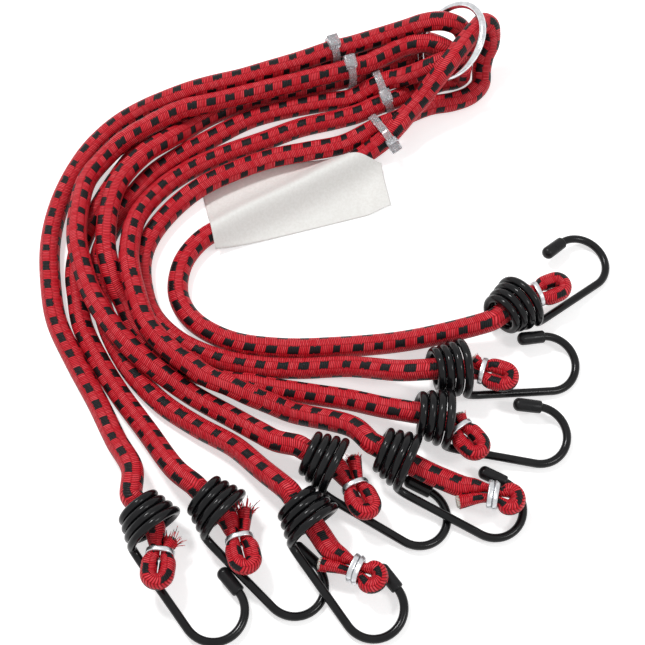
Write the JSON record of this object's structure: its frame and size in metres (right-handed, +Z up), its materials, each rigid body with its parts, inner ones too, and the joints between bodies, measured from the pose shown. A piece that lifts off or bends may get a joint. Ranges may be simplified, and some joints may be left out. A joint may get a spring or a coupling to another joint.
{
  "type": "bungee cord",
  "caption": "Elastic braided cords gathered on a steel ring, held in pairs by clear ties, each end folded, crimped and carrying a swivelling black-coated wire hook.",
  "frame": {"origin": "on the surface that the piece lies on, under the middle of the hooks, ring, ties and tag", "axes": "+Z up from that surface, +Y away from the viewer, +X to the viewer's right"},
  "size_m": [0.2233, 0.2644, 0.0336],
  "materials": {
    "cord_braid": "woven braid, bright red with black marks",
    "cord_core": "pale latex, matt cut end",
    "hook_wire": "steel wire with a glossy black coat",
    "crimp_wire": "bright zinc-plated wire",
    "ring_steel": "bright plated steel",
    "cap_plastic": "black plastic, slight sheen",
    "tie_plastic": "clear natural nylon",
    "tag_paper": "white coated paper tag"
  },
  "bodies": {
    "harness": {"cord_arm_1": "cord_braid", "cord_arm_2": "cord_braid", "cord_arm_3": "cord_braid", "cord_arm_4": "cord_braid", "cord_arm_5": "cord_braid", "cord_arm_6": "cord_braid", "cord_arm_7": "cord_braid", "cord_arm_8": "cord_braid", "cable_tie_1": "tie_plastic", "cable_tie_2": "tie_plastic", "cable_tie_3": "tie_plastic", "cable_tie_4": "tie_plastic", "tag": "tag_paper", "cord_end_4": "cord_braid", "crimp_4": "crimp_wire", "rubber_core_4": "cord_core", "cord_end_5": "cord_braid", "crimp_5": "crimp_wire", "rubber_core_5": "cord_core", "cord_end_7": "cord_braid", "crimp_7": "crimp_wire", "rubber_core_7": "cord_core"},
    "ring": {"ring": "ring_steel"},
    "end_1": {"cord_end_1": "cord_braid", "crimp_1": "crimp_wire", "rubber_core_1": "cord_core"},
    "hook_1": {"hook_wire_1": "hook_wire", "tip_cap_1": "cap_plastic"},
    "end_2": {"cord_end_2": "cord_braid", "crimp_2": "crimp_wire", "rubber_core_2": "cord_core"},
    "hook_2": {"hook_wire_2": "hook_wire", "tip_cap_2": "cap_plastic"},
    "end_3": {"cord_end_3": "cord_braid", "crimp_3": "crimp_wire", "rubber_core_3": "cord_core"},
    "hook_3": {"hook_wire_3": "hook_wire", "tip_cap_3": "cap_plastic"},
    "hook_4": {"hook_wire_4": "hook_wire", "tip_cap_4": "cap_plastic"},
    "hook_5": {"hook_wire_5": "hook_wire", "tip_cap_5": "cap_plastic"},
    "end_6": {"cord_end_6": "cord_braid", "crimp_6": "crimp_wire", "rubber_core_6": "cord_core"},
    "hook_6": {"hook_wire_6": "hook_wire", "tip_cap_6": "cap_plastic"},
    "hook_7": {"hook_wire_7": "hook_wire", "tip_cap_7": "cap_plastic"},
    "end_8": {"cord_end_8": "cord_braid", "crimp_8": "crimp_wire", "rubber_core_8": "cord_core"},
    "hook_8": {"hook_wire_8": "hook_wire", "tip_cap_8": "cap_plastic"}
  },
  "joints": [
    {"name": "ring_turn", "type": "hinge", "parent": "harness", "child": "ring", "pos_m": [0.0321, 0.11429, 0.02113], "axis": [-0.6775, -0.1151, 0.7265], "continuous": true},
    {"name": "stretch_1", "type": "slide", "parent": "harness", "child": "end_1", "axis": [0.788, 0.6157, 0], "range_m": [0, 0.1], "stiffness_N_per_m": 150},
    {"name": "hook_swivel_1", "type": "hinge", "parent": "end_1", "child": "hook_1", "pos_m": [0.0542, -0.00301, 0.01132], "axis": [0.78, 0.6094, -0.1426], "range_deg": [-25, 170]},
    {"name": "stretch_2", "type": "slide", "parent": "harness", "child": "end_2", "axis": [0.9888, 0.1214, 0.0872], "range_m": [0, 0.1], "stiffness_N_per_m": 150},
    {"name": "hook_swivel_2", "type": "hinge", "parent": "end_2", "child": "hook_2", "pos_m": [0.0309, -0.03091, 0.01133], "axis": [0.9834, 0.1207, -0.1357], "range_deg": [-3, 10]},
    {"name": "stretch_3", "type": "slide", "parent": "harness", "child": "end_3", "axis": [0.9752, -0.172, 0.1392], "range_m": [0, 0.1], "stiffness_N_per_m": 150},
    {"name": "hook_swivel_3", "type": "hinge", "parent": "end_3", "child": "hook_3", "pos_m": [0.0246, -0.05141, 0.01135], "axis": [0.9829, -0.1381, -0.1219], "range_deg": [-1, 35]},
    {"name": "hook_swivel_4", "type": "hinge", "parent": "harness", "child": "hook_4", "pos_m": [0.0098, -0.06851, 0.01132], "axis": [0.8823, -0.4496, -0.1392], "range_deg": [-70, 1]},
    {"name": "hook_swivel_5", "type": "hinge", "parent": "harness", "child": "hook_5", "pos_m": [-0.0164, -0.07021, 0.0113], "axis": [0.8646, -0.4792, -0.1513], "range_deg": [-5, 3]},
    {"name": "stretch_6", "type": "slide", "parent": "harness", "child": "end_6", "axis": [0.4255, -0.5647, 0.7071], "range_m": [0, 0.1], "stiffness_N_per_m": 150},
    {"name": "hook_swivel_6", "type": "hinge", "parent": "end_6", "child": "hook_6", "pos_m": [-0.0238, -0.09221, 0.01132], "axis": [0.5821, -0.8011, -0.1392], "range_deg": [-100, 2]},
    {"name": "hook_swivel_7", "type": "hinge", "parent": "harness", "child": "hook_7", "pos_m": [-0.0549, -0.08821, 0.0113], "axis": [0.7113, -0.6868, -0.1495], "range_deg": [-8, 0]},
    {"name": "stretch_8", "type": "slide", "parent": "harness", "child": "end_8", "axis": [0.6018, -0.7986, 0], "range_m": [0, 0.1], "stiffness_N_per_m": 150},
    {"name": "hook_swivel_8", "type": "hinge", "parent": "end_8", "child": "hook_8", "pos_m": [-0.0787, -0.09361, 0.01135], "axis": [0.5973, -0.7927, -0.1219], "range_deg": [-5, 0]}
  ]
}
